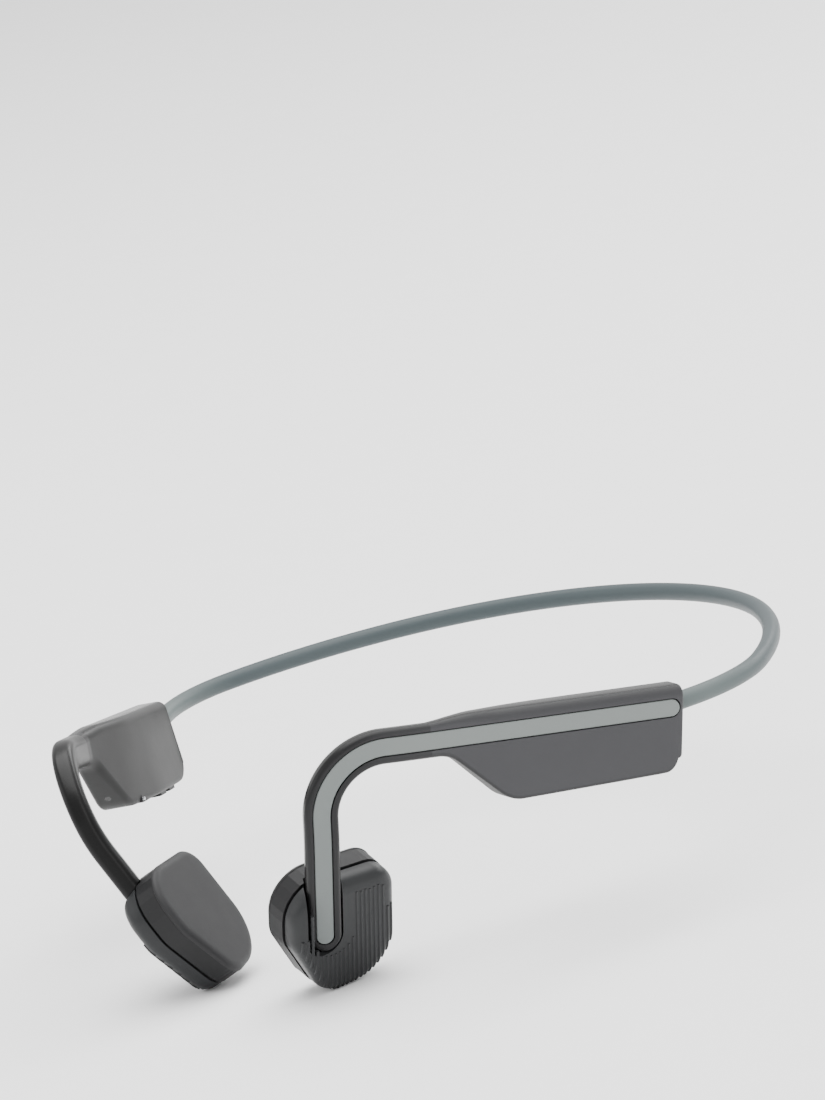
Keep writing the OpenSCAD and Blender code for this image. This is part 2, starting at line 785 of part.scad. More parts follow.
module right_outer_shell() { color("dimgray") ear_unit(-1) right_outer(); }
module right_inner_cover() { color("#3d3d3f") ear_unit(-1) right_inner(); }
module right_ear_hook() { color("#2b2b2d") ear_unit(-1) ear_hook(); }
module right_trim_strip() { color("#959b99") ear_unit(-1) trim_strip(); }
module right_hook_wire() { color("lightgray") ear_unit(-1) hook_tube(hook_wire_r, wire_side); }
module right_hook_leads() { color("firebrick") ear_unit(-1) hook_tube(lead_r, -wire_side); }
module right_driver_housing() { color("#333335") ear_unit(-1) driver_housing(); }
module right_contact_pad() { color("#404042") ear_unit(-1) contact_pad(); }
module right_driver_magnet() { color("silver") ear_unit(-1) driver_magnet(); }
module right_driver_yoke() { color("gray") ear_unit(-1) driver_yoke(); }
module right_voice_coil() { color("peru") ear_unit(-1) voice_coil(); }
module right_driver_spring() { color("goldenrod") ear_unit(-1) driver_spring(); }
module right_band_anchor() { color("lightgray") ear_unit(-1) band_anchor(); }
module right_board_screws() { color("silver") ear_unit(-1) board_screws(); }
module right_driver_cap() { color("#48494b") ear_unit(-1) driver_cap(); }
module main_board() { color("darkgreen") ear_unit(-1) board(3.6 - case_h, -8); }
module radio_module() {
    color("silver") ear_unit(-1)
        translate([board_x - board_t - 1.2, -(case_l - 13), -10]) cube([1.2, 4.8, 4.5]);
}
module charging_socket() { color("gainsboro") ear_unit(-1) charging_socket_body(); }
module port_cover() { color("#2f2f31") ear_unit(-1) port_cover_body(); }
module port_cover_pin() { color("#59595b") ear_unit(-1) port_cover_pin_body(); }
module volume_up_button() { color("#222224") ear_unit(-1) volume_button(volume_up_y); }
module volume_down_button() { color("#222224") ear_unit(-1) volume_button(volume_down_y); }
module volume_switches() {
    color("gainsboro") ear_unit(-1) for (y = [volume_up_y, volume_down_y]) volume_switch(y);
}
module microphone() { color("gold") ear_unit(-1) mic_parts(false); }
module microphone_mesh() { color("black") ear_unit(-1) mic_parts(true); }
module status_light() { color("white") ear_unit(-1) status_light_body(); }

module band_sleeve_middle() { color("#66706f") placed() sleeve_middle(); }
module band_sleeve_left() { color("#66706f") placed() band_side(band_d / 2, socket_d, sleeve_in, 28); }
module band_sleeve_right() {
    color("#66706f") placed() mirror([1, 0, 0]) band_side(band_d / 2, socket_d, sleeve_in, 28);
}
module band_wire_middle() {
    color("lightgray") placed() translate([back_c[0], back_c[1], 0]) band_middle(wire_d / 2, wire_stop_a);
}
module band_wire_left() { color("lightgray") placed() band_side(wire_d / 2, wire_stop, wire_in, 12); }
module band_wire_right() {
    color("lightgray") placed() mirror([1, 0, 0]) band_side(wire_d / 2, wire_stop, wire_in, 12);
}

left_outer_shell();
left_inner_cover();
left_ear_hook();
left_trim_strip();
left_hook_wire();
left_hook_leads();
left_driver_housing();
left_contact_pad();
left_driver_magnet();
left_driver_yoke();
left_voice_coil();
left_driver_spring();
left_band_anchor();
left_board_screws();
battery();
battery_board();
control_button();
control_switch();
right_outer_shell();
right_inner_cover();
right_ear_hook();
right_trim_strip();
right_hook_wire();
right_hook_leads();
right_driver_housing();
right_contact_pad();
right_driver_magnet();
right_driver_yoke();
right_voice_coil();
right_driver_spring();
right_band_anchor();
right_board_screws();
right_driver_cap();
main_board();
radio_module();
charging_socket();
port_cover();
port_cover_pin();
volume_up_button();
volume_down_button();
volume_switches();
microphone();
microphone_mesh();
status_light();
band_sleeve_middle();
band_sleeve_left();
band_sleeve_right();
band_wire_middle();
band_wire_left();
band_wire_right();
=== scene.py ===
"""The looks of a pair of open-ear bone conduction headphones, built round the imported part.

Lengths are drawn in millimetres in each ear unit's own frame (x outward, y to the rear,
z up, origin at the top rear outer corner of its case) and turned into metres of the
shared frame when a mesh is made.
"""

import json
import logging
import math
from dataclasses import dataclass, field
from enum import Enum
from typing import Callable, Optional, Sequence

import bmesh
import bpy
import numpy as np
from mathutils import Matrix, Vector


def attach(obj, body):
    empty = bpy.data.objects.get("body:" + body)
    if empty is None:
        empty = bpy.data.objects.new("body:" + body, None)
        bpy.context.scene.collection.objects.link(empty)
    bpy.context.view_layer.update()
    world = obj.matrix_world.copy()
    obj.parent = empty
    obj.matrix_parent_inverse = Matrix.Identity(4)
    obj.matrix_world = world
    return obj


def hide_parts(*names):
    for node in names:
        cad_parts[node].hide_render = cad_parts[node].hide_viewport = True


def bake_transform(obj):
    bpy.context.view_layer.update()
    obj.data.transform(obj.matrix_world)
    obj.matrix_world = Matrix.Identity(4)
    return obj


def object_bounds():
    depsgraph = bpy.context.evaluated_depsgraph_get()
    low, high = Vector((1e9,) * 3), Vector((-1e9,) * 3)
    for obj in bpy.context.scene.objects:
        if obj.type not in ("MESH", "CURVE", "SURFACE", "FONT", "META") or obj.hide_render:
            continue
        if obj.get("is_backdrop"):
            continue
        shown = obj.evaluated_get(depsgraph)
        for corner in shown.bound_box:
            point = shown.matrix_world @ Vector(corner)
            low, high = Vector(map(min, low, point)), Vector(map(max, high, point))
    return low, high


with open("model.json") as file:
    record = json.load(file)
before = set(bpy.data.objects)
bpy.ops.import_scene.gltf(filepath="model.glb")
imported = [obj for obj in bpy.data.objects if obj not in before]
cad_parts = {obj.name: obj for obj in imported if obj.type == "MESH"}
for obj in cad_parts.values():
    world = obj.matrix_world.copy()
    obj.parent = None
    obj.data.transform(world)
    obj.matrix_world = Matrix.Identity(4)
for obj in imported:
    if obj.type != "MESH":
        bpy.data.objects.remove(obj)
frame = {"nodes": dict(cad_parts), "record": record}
LOG = logging.getLogger("headphones")
Corner = tuple[float, float, float]
PATCH_SCALE = 90.0
GLOSS_SCALE = 240.0


class Side(Enum):
    """The wearer's side that an ear unit is on."""

    LEFT = 1
    RIGHT = -1

    @property
    def word(self) -> str:
        """The side as it starts a node's name."""
        return self.name.lower()

    @property
    def body(self) -> str:
        """The body that the side's ear unit belongs to."""
        return f"{self.word}_unit"


# ---- Shader maths ----


class Sock:
    """A node's output socket, with arithmetic that adds Math nodes."""

    def __init__(self, tree: "Tree", socket: bpy.types.NodeSocket) -> None:
        """Wrap one socket of a tree."""
        self.tree = tree
        self.socket = socket

    def _math(self, operation: str, first: object, second: object) -> "Sock":
        """Add one Math node and return its result."""
        return self.tree.node("ShaderNodeMath", {"operation": operation}, {0: first, 1: second})

    def __add__(self, other: object) -> "Sock":
        """This value plus another."""
        return self._math("ADD", self, other)

    def __radd__(self, other: object) -> "Sock":
        """Another value plus this one."""
        return self._math("ADD", other, self)

    def __sub__(self, other: object) -> "Sock":
        """This value less another."""
        return self._math("SUBTRACT", self, other)

    def __rsub__(self, other: object) -> "Sock":
        """Another value less this one."""
        return self._math("SUBTRACT", other, self)

    def __mul__(self, other: object) -> "Sock":
        """This value times another."""
        return self._math("MULTIPLY", self, other)

    def __rmul__(self, other: object) -> "Sock":
        """Another value times this one."""
        return self._math("MULTIPLY", other, self)


class Tree:
    """A node tree that gets its nodes through one method."""

    def __init__(self, tree: bpy.types.NodeTree) -> None:
        """Empty the tree and hold it."""
        self.tree = tree
        tree.nodes.clear()

    def node(
        self, kind: str, settings: dict[str, object], values: dict[object, object], out: object = 0
    ) -> Sock:
        """Add a node, set it up, then fill its sockets.

        Args:
            kind: The node's type.
            settings: Properties, set before the sockets.
            values: Socket name or index to a value or a Sock to link.
            out: Name or index of the output to return.

        Returns:
            The chosen output.
        """
        made = self.tree.nodes.new(kind)
        for name, value in settings.items():
            setattr(made, name, value)
        for name, value in values.items():
            if isinstance(value, Sock):
                self.tree.links.new(value.socket, made.inputs[name])
            else:
                made.inputs[name].default_value = value
        if not made.outputs:
            return Sock(self, None)
        return Sock(self, made.outputs[out])


def linear(colour: str) -> tuple[float, float, float, float]:
    """Turn a hex colour into linear values.

    Args:
        colour: Six hex digits after a hash.

    Returns:
        Red, green, blue and alpha.
    """
    parts = [int(colour[i : i + 2], 16) / 255 for i in (1, 3, 5)]
    values = [c / 12.92 if c <= 0.04045 else ((c + 0.055) / 1.055) ** 2.4 for c in parts]
    return (values[0], values[1], values[2], 1.0)


@dataclass(frozen=True)
class Finish:
    """A surface: two close colours mottled together, a roughness that wanders and a fine grain."""

    name: str
    colour: str
    shade: str
    roughness: float
    wander: float = 0.05
    metallic: float = 0.0
    grain: float = 2600.0
    bump: float = 0.00002
    coat: float = 0.0
    specular: float = 0.2

    def mottle(self, tree: Tree, scale: float, detail: float = 3.0) -> Sock:
        """Return noise from 0 to 1 in the object's own coordinates."""
        where = tree.node("ShaderNodeTexCoord", {}, {}, "Object")
        return tree.node("ShaderNodeTexNoise", {}, {"Vector": where, "Scale": scale, "Detail": detail}, "Fac")

    def base(self, tree: Tree) -> tuple[Sock, Sock]:
        """Return the base colour and the roughness."""
        cloud = self.mottle(tree, PATCH_SCALE)
        colour = tree.node(
            "ShaderNodeMix",
            {"data_type": "RGBA"},
            {"Factor": cloud, 6: linear(self.colour), 7: linear(self.shade)},
            2,
        )
        return colour, self.roughness - self.wander + 2 * self.wander * self.mottle(tree, GLOSS_SCALE)

    def build(self) -> bpy.types.Material:
        """Make the material.

        Returns:
            The material, with its nodes in place.
        """
        material = bpy.data.materials.new(self.name)
        material.use_nodes = True
        tree = Tree(material.node_tree)
        colour, rough = self.base(tree)
        bumped = tree.node(
            "ShaderNodeBump",
            {},
            {"Strength": 0.35, "Distance": self.bump, "Height": self.mottle(tree, self.grain, 2.0)},
        )
        surface = tree.node(
            "ShaderNodeBsdfPrincipled",
            {},
            {
                "Base Color": colour,
                "Roughness": rough,
                "Metallic": self.metallic,
                "Coat Weight": self.coat,
                "Coat Roughness": 0.2,
                "Specular IOR Level": self.specular,
                "Normal": bumped,
            },
        )
        tree.node("ShaderNodeOutputMaterial", {}, {"Surface": surface})
        return material


@dataclass(frozen=True)
class TonedFinish(Finish):
    """A finish that runs to a second one where the mesh's tone attribute falls to 0, to paint light and shade
    into the colour.
    """

    # edge: the colour where tone is 0; the tone mask paints light and shade between it and the face colour
    edge: str = "#141415"
    edge_roughness: float = 0.3
    inner: str = "#3c3c3d"

    def base(self, tree: Tree) -> tuple[Sock, Sock]:
        """Return the base colour and the roughness, led by the tone and inner attributes."""
        tone = tree.node("ShaderNodeAttribute", {"attribute_name": "tone"}, {}, "Fac")
        inner = tree.node("ShaderNodeAttribute", {"attribute_name": "inner"}, {}, "Fac")
        face = tree.node(
            "ShaderNodeMix",
            {"data_type": "RGBA"},
            {"Factor": self.mottle(tree, PATCH_SCALE), 6: linear(self.colour), 7: linear(self.shade)},
            2,
        )
        # painted light and shade: tone mixes the edge colour in where it falls to 0
        outer = tree.node(
            "ShaderNodeMix", {"data_type": "RGBA"}, {"Factor": tone, 6: linear(self.edge), 7: face}, 2
        )
        colour = tree.node(
            "ShaderNodeMix", {"data_type": "RGBA"}, {"Factor": inner, 6: outer, 7: linear(self.inner)}, 2
        )
        gloss = self.edge_roughness + (self.roughness - self.edge_roughness) * tone
        rough = gloss + (self.roughness - gloss) * inner
        return colour, rough + self.wander * (self.mottle(tree, GLOSS_SCALE) - 0.5)


# ---- Outlines and rings ----


def unit(vector: np.ndarray) -> np.ndarray:
    """Return the vector at length 1."""
    return vector / np.linalg.norm(vector)


def spin(vector: np.ndarray, axis: np.ndarray, angle: float) -> np.ndarray:
    """Turn a vector about a unit axis by an angle in degrees."""
    c, s = math.cos(math.radians(angle)), math.sin(math.radians(angle))
    return vector * c + np.cross(axis, vector) * s + axis * (axis @ vector) * (1 - c)


@dataclass(frozen=True)
class Outline:
    """A counter-clockwise polygon whose corners (x, y, radius) are rounded."""

    corners: tuple[Corner, ...]

    def inset(self, d: float) -> "Outline":
        """Return the outline moved inwards by d."""
        moved = []
        for i, (x, y, r) in enumerate(self.corners):
            before, after = self.corners[i - 1], self.corners[(i + 1) % len(self.corners)]
            e1 = unit(np.array([x - before[0], y - before[1]]))
            e2 = unit(np.array([after[0] - x, after[1] - y]))
            n1, n2 = np.array([-e1[1], e1[0]]), np.array([-e2[1], e2[0]])
            turn = d if e1[0] * e2[1] - e1[1] * e2[0] > 0 else -d
            at = np.array([x, y]) + d * (n1 + n2) / (1 + n1 @ n2)
            moved.append((float(at[0]), float(at[1]), max(0.05, r - turn)))
        return Outline(tuple(moved))

    def points(self, steps: int) -> np.ndarray:
        """Return the outline's points, with steps per corner."""
        made = []
        for i, (x, y, r) in enumerate(self.corners):
            before, after = self.corners[i - 1], self.corners[(i + 1) % len(self.corners)]
            at = np.array([x, y])
            a, b = unit(np.array(before[:2]) - at), unit(np.array(after[:2]) - at)
            half = math.acos(max(-1.0, min(1.0, float(a @ b)))) / 2
            c = at + unit(a + b) * r / math.sin(half)
            s, e = at + a * r / math.tan(half) - c, at + b * r / math.tan(half) - c
            start = math.atan2(s[1], s[0])
            turn = (math.atan2(e[1], e[0]) - start + 3 * math.pi) % (2 * math.pi) - math.pi
            for k in range(steps + 1):
                angle = start + turn * k / steps
                made.append(c + r * np.array([math.cos(angle), math.sin(angle)]))
        return np.array(made)

    def depth(self, where: np.ndarray) -> np.ndarray:
        """Return how far inside the outline each point lies, negative outside."""
        poly = self.points(10)
        nxt = np.roll(poly, -1, axis=0)
        edge = nxt - poly
        rel = where[:, None, :] - poly[None]
        along = np.clip((rel * edge).sum(2) / (edge**2).sum(1), 0, 1)
        gap = np.linalg.norm(rel - edge * along[..., None], axis=2).min(1)
        x, y = where[:, None, 0], where[:, None, 1]
        crosses = ((poly[:, 1] > y) != (nxt[:, 1] > y)) & (
            x < edge[:, 0] * (y - poly[:, 1]) / (edge[:, 1] + 1e-12) + poly[:, 0]
        )
        return np.where(crosses.sum(1) % 2 == 1, gap, -gap)


@dataclass(frozen=True)
class Knot:
    """A frame on a path: where it is, its forward, outward and side directions."""

    at: np.ndarray
    ahead: np.ndarray
    out: np.ndarray
    side: np.ndarray

    def on(self, d: float) -> "Knot":
        """Return the frame d further forward."""
        return Knot(self.at + self.ahead * d, self.ahead, self.out, self.side)

    def turned(self, bend: float, lean: float, roll: float) -> "Knot":
        """Return the frame turned by three angles in degrees."""
        side = spin(self.side, self.out, bend)
        ahead = spin(spin(self.ahead, self.out, bend), side, -lean)
        return Knot(self.at, ahead, spin(spin(self.out, side, -lean), ahead, roll), spin(side, ahead, roll))

    def walk(self, length: float, bend: float, lean: float, roll: float, steps: int) -> list["Knot"]:
        """Return the frames along a stretch that bends evenly."""
        made = [self]
        for _ in range(steps):
            half = (bend / steps / 2, lean / steps / 2, roll / steps / 2)
            made.append(made[-1].turned(*half).on(length / steps).turned(*half))
        return made[1:]

    def ring(self, section: np.ndarray) -> np.ndarray:
        """Return a section's (outward, side) points in space."""
        return self.at + np.outer(section[:, 0], self.out) + np.outer(section[:, 1], self.side)


# ---- Meshes ----


@dataclass
class Maker:
    """Makes, finishes and reports meshes."""

    materials: dict[str, bpy.types.Material]
    made: list[str] = field(default_factory=list)

    def mesh(
        self,
        name: str,
        rings: Sequence[np.ndarray],
        place: Callable[[np.ndarray], np.ndarray],
        tones: Optional[dict[str, Sequence[np.ndarray]]] = None,
        sharp: float = 38.0,
    ) -> bpy.types.Object:
        """Skin a list of closed rings, with both ends capped.

        Args:
            name: The object's name.
            rings: Equal-length rings of points in millimetres.
            place: Turns those points into metres of the shared frame.
            tones: Attribute name to one value per point of each ring.
            sharp: Angle in degrees above which an edge is drawn sharp.

        Returns:
            The object, with outward normals.
        """
        n, m = len(rings[0]), len(rings)
        points = place(np.concatenate(rings))
        faces = [
            (i * n + j, i * n + (j + 1) % n, (i + 1) * n + (j + 1) % n, (i + 1) * n + j)
            for i in range(m - 1)
            for j in range(n)
        ]
        faces.append(tuple(range(n - 1, -1, -1)))
        faces.append(tuple((m - 1) * n + j for j in range(n)))
        mesh = bpy.data.meshes.new(name)
        mesh.from_pydata([tuple(p) for p in points], [], faces)
        for key, values in (tones or {}).items():
            attribute = mesh.attributes.new(key, "FLOAT", "POINT")
            attribute.data.foreach_set("value", np.concatenate(values).astype(np.float32))
        self.tidy(mesh, sharp)
        obj = bpy.data.objects.new(name, mesh)
        bpy.context.scene.collection.objects.link(obj)
        return obj

    def tidy(self, mesh: bpy.types.Mesh, sharp: float) -> None:
        """Turn normals outward and shade the mesh smooth between sharp edges."""
        work = bmesh.new()
        work.from_mesh(mesh)
        bmesh.ops.recalc_face_normals(work, faces=work.faces)
        work.to_mesh(mesh)
        work.free()
        mesh.polygons.foreach_set("use_smooth", [True] * len(mesh.polygons))
        mesh.set_sharp_from_angle(angle=math.radians(sharp))
        mesh.update()

    def carve(self, obj: bpy.types.Object, cutters: Sequence[bpy.types.Object], sharp: float = 38.0) -> None:
        """Cut solids out of an object and remove them."""
        for cutter in cutters:
            modifier = obj.modifiers.new("cut", "BOOLEAN")
            modifier.operation = "DIFFERENCE"
            modifier.solver = "EXACT"
            modifier.object = cutter
            bpy.context.view_layer.update()
            evaluated = obj.evaluated_get(bpy.context.evaluated_depsgraph_get())
            mesh = bpy.data.meshes.new_from_object(evaluated)
            obj.modifiers.clear()
            obj.data = mesh
            bpy.data.objects.remove(cutter)
        self.tidy(obj.data, sharp)

    def finish(
        self, obj: bpy.types.Object, slot: str, replaces: Sequence[str], body: Optional[str] = None
    ) -> bpy.types.Object:
        """Dress a piece, say what it stands for and what it rides on.

        Args:
            obj: The piece.
            slot: The record's material slot.
            replaces: CAD nodes that it stands for.
            body: Body it moves with, or None to leave it unattached.

        Returns:
            The same object.
        """
        obj.data.materials.clear()
        obj.data.materials.append(self.materials[slot])
        if replaces:
            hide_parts(*replaces)
        if body:
            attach(obj, body)
        self.made.append(obj.name)
        stands_for = ", ".join(replaces) or "none"
        LOG.info("%s: %d faces, slot %s, for %s", obj.name, len(obj.data.polygons), slot, stands_for)
        return obj


# ---- Placing ----


@dataclass
class Band:
    """The sprung neckband: three arcs and a straight stub on each side."""

    back_y: float = 63.7
    back_r: float = 58.3
    back_a: float = 44.4
    side_r: float = 75.2
    side_a: float = 24.9
    corner_r: float = 24.4
    corner_a: float = 46.1
    stub_l: float = 4.0
    thickness: float = 3.1
    inside: float = 1.5
    facets: int = 36
    bend_reach: float = 22.0
    # painted light: the stretch next to each case is painted in the lighter face colour
    painted_light_length: float = 26.0
    painted_light_fade: float = 18.0

    def flex_local(self) -> np.ndarray:
        """Return the flex point before the part is centred."""
        a = math.radians(self.back_a)
        y = self.back_y - self.back_r + self.back_r * math.cos(a)
        return np.array([self.back_r * math.sin(a), y, 0.0])

    def shift(self) -> np.ndarray:
        """Return what moves the band-level frame to the shared one, from the flex joint's place."""
        joint = next(j for j in frame["record"]["behaviour"]["joints"] if j["name"] == "left_flex")
        return np.array(joint["pos_m"]) * 1000 - self.flex_local()

    def knots(self) -> list[Knot]:
        """Return the frames from the middle of the back to the end inside the left case."""
        made: list[Knot] = []
        centre = np.array([0.0, self.back_y - self.back_r])
        angle = 0.0
        arcs = (
            (self.back_r, self.back_a, 44),
            (self.side_r, self.side_a, 30),
            (self.corner_r, self.corner_a, 40),
        )
        before = self.back_r
        for radius, turn, steps in arcs:
            centre = centre + (before - radius) * np.array([math.sin(angle), math.cos(angle)])
            for k in range(0 if not made else 1, steps + 1):
                a = angle + math.radians(turn) * k / steps
                out = np.array([math.sin(a), math.cos(a), 0.0])
                at = np.array([centre[0], centre[1], 0.0]) + radius * out
                ahead = np.array([math.cos(a), -math.sin(a), 0.0])
                made.append(Knot(at, ahead, out, np.array([0.0, 0.0, 1.0])))
            angle += math.radians(turn)
            before = radius
        made.append(made[-1].on(self.stub_l * 0.5))
        made.append(made[-1].on(self.stub_l * 0.5))
        return made

    def entry(self) -> np.ndarray:
        """Return where the band's axis meets the left case's rear face."""
        return self.knots()[-1].at

    def build(self, maker: Maker, side: Side) -> None:
        """Make one half of the sleeve and find the knots either side of its flex joint, which are not used
        further.
        """
        knots = self.knots()
        knots.append(knots[-1].on(self.inside))
        turn = np.linspace(0, 2 * math.pi, self.facets, endpoint=False)
        r = self.thickness / 2
        section = r * np.stack([np.cos(turn), np.sin(turn)], axis=1)
        shift, flip = self.shift(), np.array([side.value, 1, 1])
        walked = np.cumsum([0.0] + [float(np.linalg.norm(b.at - a.at)) for a, b in zip(knots, knots[1:])])
        # painted light: tone rises to 1 over the last stretch before the case, painting that end lighter
        pale = np.clip((walked - walked[-1] + self.painted_light_length) / self.painted_light_fade, 0, 1)
        obj = maker.mesh(
            f"neckband_sleeve_{side.word}",
            [k.ring(section) for k in knots],
            lambda p: (p + shift) * flip / 1000,
            {"tone": [np.full(self.facets, t) for t in pale], "inner": [np.zeros(self.facets) for _ in pale]},
            60.0,
        )
        nodes = [f"band_sleeve_{side.word}"] + (["band_sleeve_middle"] if side is Side.LEFT else [])
        maker.finish(obj, "band_silicone", nodes)
        flex = next(i for i, k in enumerate(knots) if np.allclose(k.at, self.flex_local(), atol=0.01))
        step = [int(np.argmin(abs(walked - walked[flex] - d))) for d in (-self.bend_reach, self.bend_reach)]
        ends = [(knots[i].at + shift) * flip / 1000 for i in step]
        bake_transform(obj)


@dataclass
class Placing:
    """The frame of one ear unit's case within the shared frame."""

    side: Side
    band: Band
    toe_in: float = 27.5
    pitch: float = 10.4
    entry_local: tuple[float, float, float] = (-5.0, 0.0, -3.65)

    def directions(self) -> np.ndarray:
        """Return the case's x, y and z directions as rows, for the left side."""
        axes = np.eye(3)
        x, z = axes[0], axes[2]
        return np.array([spin(spin(a, x, -self.pitch), z, -self.toe_in) for a in axes])

    def __call__(self, points: np.ndarray) -> np.ndarray:
        """Turn points of the unit's frame, in millimetres, into metres of the shared frame."""
        axes = self.directions()
        corner = self.band.entry() - np.array(self.entry_local) @ axes
        return (corner + self.band.shift() + points @ axes) * np.array([self.side.value, 1, 1]) / 1000


# ---- Case, hook and strip ----


@dataclass
class Hook:
    """The ear hook: a flat arm that leaves the case, bends over the ear and ends on the driver."""

    case_l: float = 46.0
    bar_z: float = -3.5
    width: float = 5.7
    thickness: float = 3.8
    lead: tuple[float, float] = (7.9, 4.7)
    bend: tuple[float, float, float, float] = (11.1, 92.5, 20.5, -3.8)
    drop: tuple[float, float] = (6.8, 11.3)
    tip_l: float = 16.4
    groove_w: float = 3.2
    groove_t: float = 0.65
    strip_w: float = 2.84
    strip_drop: float = 0.06
    strip_rear: float = 2.35
    round_out: float = 0.95
    round_in: float = 1.8
    # painted shade: the tone that the arm past the case fades to, painting it darker
    painted_shade_level: float = 0.42

    def bar(self, y: float) -> Knot:
        """Return a frame of the straight run along the case."""
        axes = np.eye(3)
        return Knot(np.array([0.0, y, self.bar_z]), -axes[1], axes[0], axes[2])

    def path(self) -> list[Knot]:
        """Return the frames from the case's front end to the tip."""
        knots = [self.bar(-self.case_l)]
        knots += knots[-1].walk(self.lead[0], 0, self.lead[1], 0, 8)
        r, angle, lean, roll = self.bend
        knots += knots[-1].walk(r * math.radians(angle), angle, lean, roll, 44)
        knots += knots[-1].walk(self.drop[0], 0, self.drop[1], 0, 10)
        knots += knots[-1].walk(self.tip_l, 0, 0, 0, 10)
        return knots

    def section(self, k: float, g: float, deep: float) -> tuple[np.ndarray, np.ndarray]:
        """Return the arm's section, narrowed by k, with a groove, and its tone for painted shade."""
        w, t, ro, ri = self.width / 2 * k, self.thickness, self.round_out * k, self.round_in * k
        body = Outline(((0, w, ro), (-t, w, ri), (-t, -w, ri), (0, -w, ro))).points(7)
        rim = np.array([[0.0, -g], [-deep, -g], [-deep, g], [0.0, g]])
        arc = np.linspace(0, 1, 8)
        zero = np.zeros(8)
        # painted shade: tone is 1 on the outer face and 0 on the top, medial and bottom walls, which take the
        # near-black edge colour
        tone = np.concatenate([1 - arc, zero, zero, arc, np.ones(4)])
        return np.concatenate([body, rim]), tone

    def build(self, maker: Maker, place: Placing) -> None:
        """Make the arm, with its groove and its rounded end."""
        knots = self.path()
        g = self.groove_w / 2
        # painted shade: over the first 20 knots the tone fades from 1 to the lower level, so the arm past the
        # case is painted darker
        fade = np.linspace(1.0, self.painted_shade_level, 20).tolist() + [self.painted_shade_level] * 200
        rings, tones = [], []
        for i, knot in enumerate(knots):
            section, tone = self.section(1, g, self.groove_t)
            rings.append(knot.ring(section))
            tones.append(tone * fade[i])
        ends = [(g * math.sin(a), g * math.cos(a), self.groove_t) for a in np.linspace(0.2, 1.5, 8)]
        ends.append((g * 1.01, 0.03, 0.03))
        ends += [(self.width / 2 * math.sin(a), 0.03, 0.02) for a in np.linspace(0.68, 1.5, 9)]
        for d, half, deep in ends:
            k = math.sqrt(max(0.0, 1 - (d / (self.width / 2)) ** 2))
            section, tone = self.section(k, half, deep)
            rings.append(knots[-1].on(d).ring(section))
            tones.append(tone * self.painted_shade_level)
        values = {"tone": tones, "inner": [np.zeros(len(t)) for t in tones]}
        obj = maker.mesh(f"{place.side.word}_hook_arm", rings, place, values)
        maker.finish(obj, "hook_silicone", [f"{place.side.word}_ear_hook"], place.side.body)

    def strip(self, maker: Maker, place: Placing) -> None:
        """Make the trim strip that lies in the groove, rounded at both ends."""
        w, low = self.strip_w / 2, -self.groove_t + 0.02
        knots, widths = [], []
        for a in np.linspace(1.5, 0.15, 9):
            knots.append(self.bar(-self.strip_rear + w * math.sin(a)))
            widths.append(math.cos(a))
        run = self.path()
        for y in np.linspace(-self.strip_rear, -self.case_l + 1, 12):
            knots.append(self.bar(float(y)))
            widths.append(1.0)
        knots += run
        widths += [1.0] * len(run)
        for a in np.linspace(0.15, 1.5, 9):
            knots.append(run[-1].on(w * math.sin(a)))
            widths.append(math.cos(a))
        rings = []
        for knot, k in zip(knots, widths):
            h, top = w * k, -self.strip_drop
            upper = [(top, h - 0.12 * k), (top - 0.1, h), (low, h)]
            lower = [(low, -h), (top - 0.1, -h), (top, -h + 0.12 * k)]
            rings.append(knot.ring(np.array(upper + lower)))
        # painted shading: tone rises from the strip's rear end to its tip, painting it darker over the hook
        walked = np.linspace(0, 1, len(rings))
        tones = [np.full(6, t) for t in walked]
        values = {"tone": tones, "inner": [np.zeros(6) for _ in tones]}
        obj = maker.mesh(f"{place.side.word}_trim", rings, place, values, 30.0)
        maker.finish(obj, "trim", [f"{place.side.word}_trim_strip"], place.side.body)


